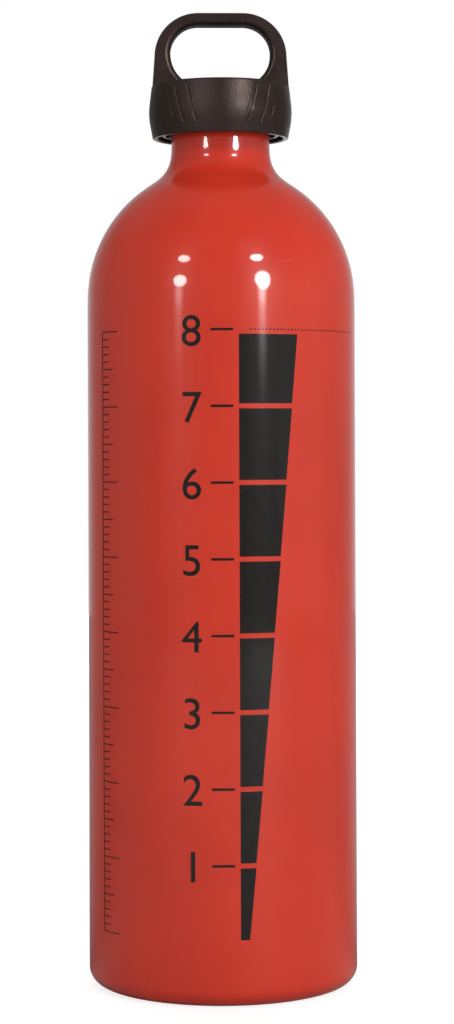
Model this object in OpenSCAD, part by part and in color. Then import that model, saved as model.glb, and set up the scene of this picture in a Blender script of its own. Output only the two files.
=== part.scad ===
// Camping fuel bottle: a one-piece drawn aluminium bottle with a push-and-turn closure.
// Sizes are millimetres. The origin is on the table, under the middle of the base. +Z is up the
// bottle, and the front, the side that is seen first, faces -Y.

/* [Bottle] */
// Outside diameter of the body
body_d = 79; // [66:0.5:92]
// Height of the straight body above the table, up to the start of the domed shoulder
body_h = 201.1; // [120:0.1:260]
// Wall of the body and of the shoulder
wall = 1; // [0.7:0.1:1.6]
// Radius of the corner between the body and the base
corner_r = 5; // [4:0.5:9]
// Thickness of the base
base_t = 1.6; // [1:0.1:2.4]
// How far the base is domed up in the middle
punt_h = 8; // [5:0.5:14]
// Width of the flat ring that the bottle stands on
foot_w = 2.5; // [1.5:0.1:4]
// Radius of the bead between that ring and the domed base
foot_bead_r = 3; // [2.5:0.1:5]

/* [Neck] */
// Outside diameter of the neck
neck_d = 29; // [27:0.1:32]
// Diameter of the bore, at the root of its thread
bore_d = 25; // [23:0.1:26]
// Height of the straight neck above the hollow under it
neck_h = 12.1; // [11:0.1:20]
// Radius of the hollow between the shoulder and the neck
hollow_r = 9.1; // [5:0.1:12]
// Width of the bevel in the mouth that the seal sits on
mouth_bevel = 1.5; // [1.4:0.1:1.8]
// Bevel round the outside of the neck's rim
rim_bevel = 0.3; // [0.1:0.1:0.4]

/* [Threaded plug] */
// Room between the stem and the bore, which the two threads share
thread_room = 1.2; // [0.8:0.05:1.6]
// Length of the stem below the flange
stem_len = 14; // [11:0.5:18]
// Thickness of the flange
flange_t = 1.6; // [1.2:0.1:2.4]
// Gap between the neck's rim and the flange, which the seal keeps open
seal_gap = 0.8; // [0.8:0.05:1.4]
// Gap between the neck and the collar that hangs round it
collar_gap = 0.4; // [0.2:0.05:0.8]
// Wall of the collar
collar_t = 1.2; // [0.8:0.1:2]
// Length of the collar below the flange
collar_len = 6.2; // [4:0.1:8]
// Diameter of the spring's well inside the stem
well_d = 16; // [15:0.5:18]
// Thickness of the closed end of the stem
well_floor_t = 2; // [1:0.1:3]

/* [Crown and dogs] */
// Number of dogs under the deck, and of slots in the crown
dog_count = 8; // [4:1:10]
// Width of each dog
dog_w = 2.6; // [1.6:0.1:3.4]
// Height of each dog, which is also the crown's height
dog_h = 1.9; // [1.2:0.1:3]
// Gap at each side of a dog in its slot
dog_side_gap = 0.35; // [0.2:0.05:0.6]
// Gap between the dogs and the crown while the cap is up
dog_lift = 0.3; // [0.2:0.05:0.8]
// Inside radius of the crown
crown_in_r = 9; // [8.5:0.1:9.6]
// Outside radius of the crown
crown_out_r = 12.8; // [11:0.1:14]

/* [Seal] */
// Diameter of the seal's section
seal_d = 2; // [1.6:0.05:2.1]

/* [Spring] */
// Diameter of the spring's wire
wire_d = 0.9; // [0.6:0.05:1.1]
// Outside diameter of the spring
spring_d = 13.8; // [12.5:0.1:14.2]
// Turns of the spring
spring_turns = 6; // [4:1:7]

/* [Cap] */
// Height of the skirt, from its lower rim to the deck's top
skirt_h = 15.6; // [14:0.1:20]
// Height of the widest ring of the skirt above its rim
ridge_h = 7.8; // [4:0.1:10]
// Outside radius of the skirt at its rim
rim_r = 20; // [19.6:0.1:23]
// Outside radius of the skirt at its widest ring
ridge_r = 21.3; // [20.8:0.1:24]
// Outside radius of the skirt at its top edge
top_r = 20.3; // [19.8:0.1:23]
// Wall of the skirt
skirt_t = 1.5; // [1:0.1:1.8]
// Bevel along the skirt's top edge
top_bevel = 0.5; // [0.2:0.1:1]
// Thickness of the deck
deck_t = 1.8; // [1.2:0.1:3]
// Running gap between the plug's collar and the guide sleeve round it
sleeve_gap = 0.1; // [0.05:0.05:0.3]
// Wall of the guide sleeve
sleeve_t = 1.1; // [0.8:0.1:1.2]
// Thickness of each rib between the sleeve and the skirt
rib_t = 1; // [0.6:0.1:1.6]
// Number of those ribs
rib_count = 12; // [6:1:18]
// Number of snap tabs under the collar
tab_count = 6; // [4:1:8]
// Angle that each snap tab takes up
tab_angle = 26; // [14:1:40]
// How far each snap tab reaches in under the collar
tab_reach = 0.5; // [0.3:0.05:0.7]
// Height of each snap tab
tab_h = 0.9; // [0.6:0.1:1.2]

/* [Grip grooves] */
// Depth of each groove
groove_depth = 0.45; // [0.2:0.05:0.7]
// Radius of the cutter that makes it
groove_r = 0.8; // [0.6:0.05:1.2]
// Angle from the front to the first groove, at the skirt's top
groove_first = 30; // [20:0.5:34]
// Angle from each groove to the next
groove_step = 12.4; // [9:0.1:15]
// Angle that each groove leans towards the front over the skirt's height
groove_lean = 10.5; // [0:0.5:14]
// Distance from a long groove's top end to the deck's top
groove_top = 1.6; // [1:0.1:4]
// Height of each groove's lower end above the rim
groove_foot = 3.4; // [2:0.1:6]
// Grooves on each side of the front and of the back, of which the last is a short one
groove_count = 3; // [1:1:4]
// Length of that short groove
groove_short = 4; // [2:0.1:6]

/* [Loop] */
// Height of the loop above the deck
loop_h = 21.2; // [17:0.1:30]
// Depth of the loop, front to back
loop_depth = 7.5; // [5:0.1:10]
// Width of the loop outside, at its shoulders
loop_w = 38.9; // [37:0.1:39.4]
// Radius of the loop's outer shoulders
loop_corner_r = 12.9; // [8:0.1:16]
// Thickness of the loop's top bar
loop_bar = 3.5; // [3:0.1:6]
// Width of the opening
opening_w = 29.5; // [24:0.1:31]
// Radius of the opening's corners
opening_r = 8.2; // [5:0.1:8.6]
// Bevel along the loop's outer edges
loop_bevel = 0.9; // [0.4:0.1:1.2]
// Bevel along the opening's edges
opening_bevel = 1; // [0.4:0.1:1.2]

/* [Hidden] */
round_fn = 96;   // steps round a full turn
clear = 0.02;    // gap between faces that only touch
past = 1;        // how far a cutter runs past what it cuts

// Bottle
body_r = body_d / 2;
neck_r = neck_d / 2;
bore_r = bore_d / 2;
foot_out_r = body_r - corner_r;
foot_in_r = foot_out_r - foot_w;
inner_hollow_r = hollow_r + wall;

// Height of a hollow's centre, whose circle meets both the neck and the dome smoothly
function hollow_z(dome_r, tube_r, r) = body_h + sqrt(pow(dome_r + r, 2) - pow(tube_r + r, 2));
neck_z = hollow_z(body_r, neck_r, hollow_r);
neck_top = neck_z + neck_h;

// The domed base is part of a ball whose surface runs smoothly into the foot's bead
punt_r = (pow(foot_in_r, 2) + pow(foot_bead_r - punt_h, 2) - pow(foot_bead_r, 2)) / (2 * punt_h);
punt_z = punt_h - punt_r;

// Plug
stem_r = bore_r - thread_room;
flange_z = neck_top + seal_gap;
flange_top = flange_z + flange_t;
collar_in_r = neck_r + collar_gap;
collar_r = collar_in_r + collar_t;
collar_z = flange_z - collar_len;
well_r = well_d / 2;
well_z = flange_z - stem_len + well_floor_t;
crown_top = flange_top + dog_h;
stem_bevel = 0.8;
slot_w = dog_w + 2 * dog_side_gap;

// Seal
seal_r = stem_r + seal_d / 2 + clear;
seal_z = flange_z - seal_d / 2 - clear;

// Cap
ceiling_z = crown_top + dog_lift + dog_h;
deck_z = ceiling_z + deck_t;
rim_z = deck_z - skirt_h;
ridge_z = rim_z + ridge_h;
sleeve_r = collar_r + sleeve_gap;
tab_gap = 0.1;
tab_z = collar_z - tab_gap - tab_h;
rib_foot = 3;
rib_z = rim_z + rib_foot;
bond_z = ceiling_z + deck_t / 2;    // height that parts under and on the deck are carried to, inside it
spigot_h = 4;
spigot_t = 1.1;
spigot_gap = 0.4;

// Spring
spring_r = (spring_d - wire_d) / 2;
spring_z0 = well_z + wire_d / 2 + clear;
spring_z1 = ceiling_z - wire_d / 2 - clear;
spigot_r = spring_r - wire_d / 2 - spigot_gap;
coil_steps = 16;    // rings to each turn of the coil
coil_sides = 8;     // points to each ring
coil_rings = spring_turns * coil_steps;
end_close = 0.5;    // how much closer the end turns lie, as a share of the pitch

// Loop
loop_top = deck_z + loop_h;
loop_shoulder_x = loop_w / 2 - loop_corner_r;
loop_shoulder_z = loop_top - loop_corner_r;
opening_x = opening_w / 2 - opening_r;
opening_z = loop_top - loop_bar - opening_r;

enamel = [0.80, 0.20, 0.16];
black = [0.20, 0.17, 0.17];
seal_colour = [0.12, 0.10, 0.10];
steel = [0.75, 0.75, 0.77];

// Bottle

// A disc in the section plane, kept at or outside the axis
module section_disc(r, z) {
    intersection() {
        translate([0, z]) circle(r, $fn = round_fn);
        translate([0, z - r - past]) square([r + past, 2 * (r + past)]);
    }
}

// What rounds the corner at the base, for a wall at side_r over a floor at floor_z
module corner_cut(side_r, floor_z, r) {
    difference() {
        translate([side_r - r, floor_z - past]) square([r + past, r + past]);
        translate([side_r - r, floor_z + r]) circle(r, $fn = round_fn);
    }
}

// The space under the domed base, grown by t into the metal
module punt_section(t) {
    bead_r = foot_bead_r - t;
    union() {
        section_disc(punt_r + t, punt_z);
        difference() {
            polygon([[0, punt_z], [foot_in_r, foot_bead_r], [foot_in_r, punt_z]]);
            translate([foot_in_r, foot_bead_r]) circle(bead_r, $fn = round_fn);
        }
    }
}

// A solid bottle in section: body, dome, hollow and neck
module bottle_outline(side_r, tube_r, r, floor_z, edge_r, top) {
    z = hollow_z(side_r, tube_r, r);
    difference() {
        union() {
            translate([0, floor_z]) square([side_r, body_h - floor_z]);
            intersection() {
                translate([0, body_h]) circle(side_r, $fn = round_fn);
                translate([0, body_h - past]) square([side_r + past, side_r + 2 * past]);
            }
            difference() {
                polygon([[0, body_h], [tube_r + r, z], [0, z]]);
                translate([tube_r + r, z]) circle(r, $fn = round_fn);
            }
            translate([0, body_h]) square([tube_r, top - body_h]);
        }
        corner_cut(side_r, floor_z, edge_r);
    }
}

module bottle_section() {
    difference() {
        bottle_outline(body_r, neck_r, hollow_r, 0, corner_r, neck_top);
        punt_section(0);
        difference() {
            bottle_outline(body_r - wall, bore_r, inner_hollow_r, base_t, corner_r - wall, neck_top + past);
            punt_section(base_t);
        }
        polygon([
            [bore_r - past, neck_top - mouth_bevel - past],
            [bore_r + mouth_bevel + past, neck_top + past],
            [bore_r - past, neck_top + past]
        ]);
        polygon([
            [neck_r - rim_bevel, neck_top],
            [neck_r, neck_top - rim_bevel],
            [neck_r + past, neck_top - rim_bevel],
            [neck_r + past, neck_top + past],
            [neck_r - rim_bevel, neck_top + past]
        ]);
    }
}

module bottle_shell() {
    color(enamel) rotate_extrude($fn = round_fn) bottle_section();
}

// Closure: seal, plug and spring

module o_ring() {
    color(seal_colour) rotate_extrude($fn = round_fn)
        translate([seal_r, seal_z]) circle(seal_d / 2, $fn = 48);
}

module threaded_plug() {
    color(black) difference() {
        union() {
            rotate_extrude($fn = round_fn) polygon([
                [0, flange_z - stem_len],
                [stem_r - stem_bevel, flange_z - stem_len],
                [stem_r, flange_z - stem_len + stem_bevel],
                [stem_r, flange_z],
                [collar_in_r, flange_z],
                [collar_in_r, collar_z],
                [collar_r, collar_z],
                [collar_r, flange_top],
                [0, flange_top]
            ]);
            translate([0, 0, flange_z]) cylinder(r = crown_out_r, h = crown_top - flange_z, $fn = round_fn);
        }
        translate([0, 0, flange_top]) cylinder(r = crown_in_r, h = dog_h + past, $fn = round_fn);
        translate([0, 0, well_z]) cylinder(r = well_r, h = stem_len + past, $fn = round_fn);
        for (i = [0 : dog_count - 1])
            rotate([0, 0, i * 360 / dog_count])
                translate([0, -slot_w / 2, flange_top])
                    cube([crown_out_r + past, slot_w, dog_h + past]);
    }
}

// The coil's turns are open and lie closer together at its two ends
function coil_z(u) = spring_z0 + (spring_z1 - spring_z0) * (u - end_close * sin(360 * u) / (2 * PI));
function coil_point(u) = let(a = 360 * spring_turns * u) [spring_r * cos(a), spring_r * sin(a), coil_z(u)];

module return_spring() {
    points = [
        for (i = [0 : coil_rings], j = [0 : coil_sides - 1])
            let(
                u = i / coil_rings,
                c = coil_point(u),
                a = 360 * spring_turns * u,
                b = 360 * j / coil_sides,
                out = wire_d / 2 * cos(b)
            )
            [c[0] + out * cos(a), c[1] + out * sin(a), c[2] + wire_d / 2 * sin(b)]
    ];
    sides = [
        for (i = [0 : coil_rings - 1], j = [0 : coil_sides - 1])
            let(k = (j + 1) % coil_sides, n = i * coil_sides, m = n + coil_sides)
            each [[n + j, m + j, m + k], [n + j, m + k, n + k]]
    ];
    ends = [
        [for (j = [0 : coil_sides - 1]) j],
        [for (j = [coil_sides - 1 : -1 : 0]) coil_rings * coil_sides + j]
    ];
    color(steel) polyhedron(points, concat(sides, ends));
}

// Closure: outer cap

// Outside radius of the skirt at height z
function skirt_r(z) = z < ridge_z
    ? rim_r + (ridge_r - rim_r) * (z - rim_z) / ridge_h
    : ridge_r + (top_r - ridge_r) * (z - ridge_z) / (deck_z - ridge_z);

module cap_body_section() {
    difference() {
        polygon([
            [0, rim_z],
            [rim_r, rim_z],
            [ridge_r, ridge_z],
            [top_r, deck_z - top_bevel],
            [top_r - top_bevel, deck_z],
            [0, deck_z]
        ]);
        polygon([
            [0, rim_z - past],
            [rim_r - skirt_t, rim_z - past],
            [rim_r - skirt_t, rim_z],
            [ridge_r - skirt_t, ridge_z],
            [top_r - skirt_t, ceiling_z],
            [0, ceiling_z]
        ]);
    }
}

module guide_sleeve() {
    rotate_extrude($fn = round_fn)
        translate([sleeve_r, tab_z]) square([sleeve_t, bond_z - tab_z]);
    for (i = [0 : tab_count - 1])
        rotate([0, 0, (i + 0.5) * 360 / tab_count - tab_angle / 2])
            rotate_extrude(angle = tab_angle, $fn = round_fn) polygon([
                [sleeve_r + sleeve_t / 2, tab_z],
                [sleeve_r - sleeve_gap - tab_reach + tab_h / 2, tab_z],
                [sleeve_r - sleeve_gap - tab_reach, tab_z + tab_h / 2],
                [sleeve_r - sleeve_gap - tab_reach, tab_z + tab_h],
                [sleeve_r + sleeve_t / 2, tab_z + tab_h]
            ]);
    for (i = [0 : rib_count - 1])
        rotate([0, 0, (i + 0.5) * 360 / rib_count])
            translate([sleeve_r + sleeve_t / 2, -rib_t / 2, rib_z])
                cube([rim_r - skirt_t / 2 - sleeve_r - sleeve_t / 2, rib_t, bond_z - rib_z]);
}

module dogs() {
    for (i = [0 : dog_count - 1])
        rotate([0, 0, i * 360 / dog_count])
            translate([crown_in_r + dog_side_gap, -dog_w / 2, ceiling_z - dog_h])
                cube([crown_out_r - crown_in_r - 2 * dog_side_gap, dog_w, dog_h + deck_t / 2]);
    difference() {
        translate([0, 0, ceiling_z - spigot_h])
            cylinder(r = spigot_r, h = spigot_h + deck_t / 2, $fn = round_fn);
        translate([0, 0, ceiling_z - spigot_h - past])
            cylinder(r = spigot_r - spigot_t, h = spigot_h + past, $fn = round_fn);
    }
}

// A round bar from one point to another, carried on past the second
module bar(from, to, r, beyond) {
    d = to - from;
    length = norm(d);
    translate(from)
        rotate([0, acos(d[2] / length), atan2(d[1], d[0])])
            cylinder(r = r, h = length + beyond, $fn = 32);
}

// The cutter's axis at height z, for a groove that is angle a from the front at the top
function groove_point(a, z, side) =
    let(
        lean = a - groove_lean * (deck_z - z) / skirt_h,
        r = skirt_r(z) + groove_r - groove_depth,
        turn = side * lean - 90
    )
    [r * cos(turn), r * sin(turn), z];

module groove(a, side, z_top, z_foot) {
    if (z_top > ridge_z) {
        bar(groove_point(a, z_top, side), groove_point(a, ridge_z, side), groove_r, past);
        bar(groove_point(a, z_foot, side), groove_point(a, ridge_z, side), groove_r, past);
    } else {
        bar(groove_point(a, z_top, side), groove_point(a, z_foot, side), groove_r, 0);
    }
}

module grip_grooves() {
    foot_z = rim_z + groove_foot;
    for (back = [0, 180], side = [-1, 1], i = [0 : groove_count - 1])
        rotate([0, 0, back])
            groove(
                groove_first + i * groove_step,
                side,
                i < groove_count - 1 ? deck_z - groove_top : foot_z + groove_short,
                foot_z
            );
}

// A disc standing across Y with a bevel of size b round both of its faces
module bevelled_disc(r, depth, b) {
    rotate([90, 0, 0]) {
        translate([0, 0, -depth / 2 + b]) cylinder(r = r, h = depth - 2 * b, $fn = round_fn);
        for (turn = [0, 180])
            rotate([turn, 0, 0]) translate([0, 0, depth / 2 - b])
                cylinder(r1 = r, r2 = r - b, h = b, $fn = round_fn);
    }
}

// A bar's section with its two outer edges bevelled: x runs outwards from 0 to r, y is the depth
module bevelled_edge(r, depth, b) {
    polygon([
        [0, -depth / 2],
        [r - b, -depth / 2],
        [r, -depth / 2 + b],
        [r, depth / 2 - b],
        [r - b, depth / 2],
        [0, depth / 2]
    ]);
}

module loop_outline() {
    for (side = [-1, 1])
        translate([side * loop_shoulder_x, 0, loop_shoulder_z])
            bevelled_disc(loop_corner_r, loop_depth, loop_bevel);
    translate([-loop_shoulder_x, 0, loop_shoulder_z])
        rotate([90, 0, 90])
            linear_extrude(2 * loop_shoulder_x)
                rotate([0, 0, 90]) bevelled_edge(loop_corner_r, loop_depth, loop_bevel);
    intersection() {
        translate([0, 0, bond_z])
            linear_extrude(loop_shoulder_z - bond_z)
                for (side = [0, 180])
                    rotate([0, 0, side]) bevelled_edge(top_r, loop_depth, loop_bevel);
        rotate_extrude($fn = round_fn) polygon([
            [0, bond_z],
            [top_r - top_bevel / 2, bond_z],
            [top_r - top_bevel / 2, deck_z],
            [loop_w / 2, loop_shoulder_z],
            [0, loop_shoulder_z]
        ]);
    }
}

// The opening through the loop, wider at both faces by its bevel
module loop_opening() {
    half = loop_depth / 2;
    mouth = opening_r + opening_bevel;
    for (side = [-1, 1])
        translate([side * opening_x, 0, opening_z])
            rotate([90, 0, 0]) {
                translate([0, 0, -half - past])
                    cylinder(r = opening_r, h = loop_depth + 2 * past, $fn = round_fn);
                for (turn = [0, 180])
                    rotate([turn, 0, 0]) {
                        translate([0, 0, half - opening_bevel])
                            cylinder(r1 = opening_r, r2 = mouth, h = opening_bevel, $fn = round_fn);
                        translate([0, 0, half]) cylinder(r = mouth, h = past, $fn = round_fn);
                    }
            }
    translate([-opening_x, 0, opening_z])
        rotate([90, 0, 90])
            linear_extrude(2 * opening_x) polygon([
                [-half - past, -mouth],
                [-half, -mouth],
                [-half + opening_bevel, -opening_r],
                [half - opening_bevel, -opening_r],
                [half, -mouth],
                [half + past, -mouth],
                [half + past, mouth],
                [half, mouth],
                [half - opening_bevel, opening_r],
                [-half + opening_bevel, opening_r],
                [-half, mouth],
                [-half - past, mouth]
            ]);
}

module carrying_loop() {
    difference() {
        loop_outline();
        loop_opening();
        translate([-body_r, -body_r, bond_z - body_r]) cube([2 * body_r, 2 * body_r, body_r]);
    }
}

module cap_shell() {
    color(black) {
        difference() {
            rotate_extrude($fn = round_fn) cap_body_section();
            grip_grooves();
        }
        guide_sleeve();
        dogs();
        carrying_loop();
    }
}

bottle_shell();
o_ring();
threaded_plug();
return_spring();
cap_shell();
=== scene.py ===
"""Looks of the camping fuel bottle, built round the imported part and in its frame.

Lengths in the classes are millimetres. A finished mesh is scaled to metres and keeps its place in
its vertices. The bottle's axis is Z, its front faces -Y and the table is at Z 0.
"""

from __future__ import annotations

import logging
import math
from dataclasses import dataclass
from enum import Enum

import bmesh
import bpy
from mathutils import Matrix, Vector

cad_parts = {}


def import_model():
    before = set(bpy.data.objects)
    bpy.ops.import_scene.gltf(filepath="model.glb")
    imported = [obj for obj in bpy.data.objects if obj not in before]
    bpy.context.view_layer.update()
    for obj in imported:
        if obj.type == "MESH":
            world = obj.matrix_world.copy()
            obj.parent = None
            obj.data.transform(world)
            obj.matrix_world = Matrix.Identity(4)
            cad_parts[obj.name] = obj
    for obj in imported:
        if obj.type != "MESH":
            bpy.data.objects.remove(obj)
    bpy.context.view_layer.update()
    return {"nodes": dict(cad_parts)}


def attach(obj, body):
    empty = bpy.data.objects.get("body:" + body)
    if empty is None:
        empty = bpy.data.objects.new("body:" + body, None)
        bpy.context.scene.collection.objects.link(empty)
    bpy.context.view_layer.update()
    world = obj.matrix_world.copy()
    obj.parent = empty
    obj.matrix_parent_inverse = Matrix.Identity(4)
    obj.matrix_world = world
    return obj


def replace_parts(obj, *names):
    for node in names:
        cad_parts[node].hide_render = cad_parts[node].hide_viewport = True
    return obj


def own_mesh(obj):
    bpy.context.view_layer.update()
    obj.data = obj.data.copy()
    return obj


LOG = logging.getLogger("fuel_bottle")
MM = 0.001
PICTURE_H = 1024

Point = tuple[float, float]


class Side(Enum):
    """The two faces of the closure that carry grip grooves."""

    FRONT = 0
    BACK = 180


class Slot(Enum):
    """The record's material slots."""

    ENAMEL = "enamelled_aluminium"
    SEAL = "seal_rubber"
    PLUG = "plug_plastic"
    SPRING = "spring_steel"
    CAP = "cap_plastic"


class Body(Enum):
    """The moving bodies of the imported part."""

    BOTTLE = "bottle"
    SEAL = "seal"
    PLUG = "plug"
    CAP = "cap"


# Outlines and meshes


def arc(centre: Point, radius: float, start: float, end: float, steps: int) -> list[Point]:
    """Gives the points of an arc.

    Args:
        centre: Its centre, as radius from the axis and height.
        radius: Its radius.
        start: The angle of its first point, in degrees from outwards to up.
        end: The angle of its last point.
        steps: How many chords it is cut into.

    Returns:
        The points, both ends among them.
    """
    turns = [math.radians(start + (end - start) * i / steps) for i in range(steps + 1)]
    return [(centre[0] + radius * math.cos(t), centre[1] + radius * math.sin(t)) for t in turns]


def rounded(corners: list[tuple[float, float, float]], steps: int = 5) -> list[Point]:
    """Rounds the corners of an open outline.

    Args:
        corners: Each corner as x, z and the radius of its rounding, 0 for a sharp one.
        steps: How many chords each rounding has.

    Returns:
        The outline's points.
    """
    points: list[Point] = []
    for i, (x, z, radius) in enumerate(corners):
        here = Vector((x, z))
        if radius == 0 or i in (0, len(corners) - 1):
            points.append((x, z))
            continue
        to_last = (Vector(corners[i - 1][:2]) - here).normalized()
        to_next = (Vector(corners[i + 1][:2]) - here).normalized()
        half = to_last.angle(to_next) / 2
        reach = radius / math.tan(half)
        centre = here + (to_last + to_next).normalized() * radius / math.sin(half)
        first, last = here + to_last * reach - centre, here + to_next * reach - centre
        swing = first.angle_signed(last)
        for k in range(steps + 1):
            spoke = first.copy()
            spoke.rotate(Matrix.Rotation(-swing * k / steps, 2))
            points.append(tuple(centre + spoke))
    return points


def add_path(bm: bmesh.types.BMesh, points: list[Point], closed: bool = False) -> list:
    """Adds an outline in the XZ plane.

    Args:
        bm: The mesh that it is added to.
        points: Its points, as x and z.
        closed: Whether its last point joins its first.

    Returns:
        The new vertices and edges, ready for a spin or an extrusion.
    """
    verts = [bm.verts.new((x, 0.0, z)) for x, z in points]
    pairs = list(zip(verts, verts[1:]))
    if closed:
        pairs.append((verts[-1], verts[0]))
    edges = [bm.edges.new(pair) for pair in pairs]
    return [*verts, *edges]


def spin_round(bm: bmesh.types.BMesh, geom: list, steps: int, material: int = 0) -> None:
    """Spins an outline once round the axis and closes it.

    Args:
        bm: The mesh that holds it.
        geom: Its vertices and edges.
        steps: How many steps the turn has.
        material: The material index of the faces that it makes.
    """
    before = set(bm.faces)
    bmesh.ops.spin(
        bm, geom=geom, cent=(0, 0, 0), axis=(0, 0, 1), angle=2 * math.pi, steps=steps,
        use_merge=True, use_duplicate=False,
    )
    bmesh.ops.remove_doubles(bm, verts=bm.verts[:], dist=1e-4)
    for face in bm.faces:
        if face.is_valid and face not in before:
            face.material_index = material


def spun_solid(points: list[Point], steps: int) -> bmesh.types.BMesh:
    """Makes a closed body of revolution.

    Args:
        points: Its section, as a closed outline or one that starts and ends on the axis.
        steps: How many steps the turn has.

    Returns:
        The body, with its normals outwards.
    """
    bm = bmesh.new()
    on_axis = abs(points[0][0]) < 1e-6 and abs(points[-1][0]) < 1e-6
    spin_round(bm, add_path(bm, points, closed=not on_axis), steps)
    bmesh.ops.recalc_face_normals(bm, faces=bm.faces[:])
    return bm


def slab(outlines: list[list[Point]], depth: float) -> bmesh.types.BMesh:
    """Makes a plate that stands in the XZ plane, centred on Y.

    Args:
        outlines: The closed outlines of the flat shapes that it joins, edge to edge.
        depth: Its depth along Y.

    Returns:
        The plate, with its normals outwards.
    """
    bm = bmesh.new()
    for outline in outlines:
        path = add_path(bm, outline, closed=True)
        bm.faces.new([v for v in path if isinstance(v, bmesh.types.BMVert)])
    bmesh.ops.remove_doubles(bm, verts=bm.verts[:], dist=1e-4)
    made = bmesh.ops.extrude_face_region(bm, geom=bm.faces[:])["geom"]
    bmesh.ops.translate(
        bm, vec=(0, depth, 0), verts=[v for v in made if isinstance(v, bmesh.types.BMVert)]
    )
    bmesh.ops.translate(bm, vec=(0, -depth / 2, 0), verts=bm.verts[:])
    bmesh.ops.recalc_face_normals(bm, faces=bm.faces[:])
    return bm


def bevel_edges(bm: bmesh.types.BMesh, edges: list, offset: float, segments: int) -> None:
    """Rounds edges of a mesh.

    Args:
        bm: The mesh.
        edges: The edges to round.
        offset: How far the rounding reaches from each edge.
        segments: How many strips it has.
    """
    bmesh.ops.bevel(
        bm, geom=edges, affect="EDGES", offset=offset, offset_type="OFFSET", segments=segments,
        profile=0.5, clamp_overlap=True, material=-1,
    )


def join_into(target: bmesh.types.BMesh, part: bmesh.types.BMesh, at: Matrix | None = None) -> None:
    """Moves a part and adds it to another mesh, and frees it.

    Args:
        target: The mesh that takes it.
        part: The part.
        at: Where it is moved to first.
    """
    if at is not None:
        bmesh.ops.transform(part, matrix=at, verts=part.verts[:])
    mesh = bpy.data.meshes.new("part")
    part.to_mesh(mesh)
    part.free()
    target.from_mesh(mesh)
    bpy.data.meshes.remove(mesh)


def make_object(name: str, bm: bmesh.types.BMesh, sharp: float = 32.0) -> bpy.types.Object:
    """Makes a smooth-shaded object of a mesh in millimetres, and frees the mesh.

    Args:
        name: The object's name.
        bm: The mesh.
        sharp: The angle, in degrees, past which an edge stays sharp.

    Returns:
        The object, in metres, at the origin.
    """
    limit = math.radians(sharp)
    for face in bm.faces:
        face.smooth = True
    for edge in bm.edges:
        edge.smooth = not (edge.is_manifold and edge.calc_face_angle(0.0) > limit)
    bmesh.ops.scale(bm, vec=(MM, MM, MM), verts=bm.verts[:])
    mesh = bpy.data.meshes.new(name)
    bm.to_mesh(mesh)
    bm.free()
    obj = bpy.data.objects.new(name, mesh)
    bpy.context.scene.collection.objects.link(obj)
    return obj


def boolean(target: bpy.types.Object, tool: bpy.types.Object, operation: str) -> None:
    """Adds a tool to a piece or cuts it away, and deletes the tool.

    Args:
        target: The piece that is changed.
        tool: The piece that changes it.
        operation: UNION or DIFFERENCE.
    """
    step = target.modifiers.new("shape", "BOOLEAN")
    step.operation = operation
    step.object = tool
    step.solver = "EXACT"
    step.use_self = True
    graph = bpy.context.evaluated_depsgraph_get()
    mesh = bpy.data.meshes.new_from_object(target.evaluated_get(graph))
    target.modifiers.clear()
    old = target.data
    target.data = mesh
    bpy.data.meshes.remove(old)
    tool_mesh = tool.data
    bpy.data.objects.remove(tool)
    bpy.data.meshes.remove(tool_mesh)


def dress(
    obj: bpy.types.Object, body: Body, finishes: list[bpy.types.Material]
) -> bpy.types.Object:
    """Gives a piece its finishes and the body that it rides on.

    Args:
        obj: The piece.
        body: The body that carries it.
        finishes: Its materials, in the order of its material indices.

    Returns:
        The piece.
    """
    obj.data.materials.clear()
    for finish in finishes:
        obj.data.materials.append(finish)
    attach(obj, body.value)
    LOG.info("%s rides on %s with %d faces", obj.name, body.value, len(obj.data.polygons))
    return obj


# Finishes


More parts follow.
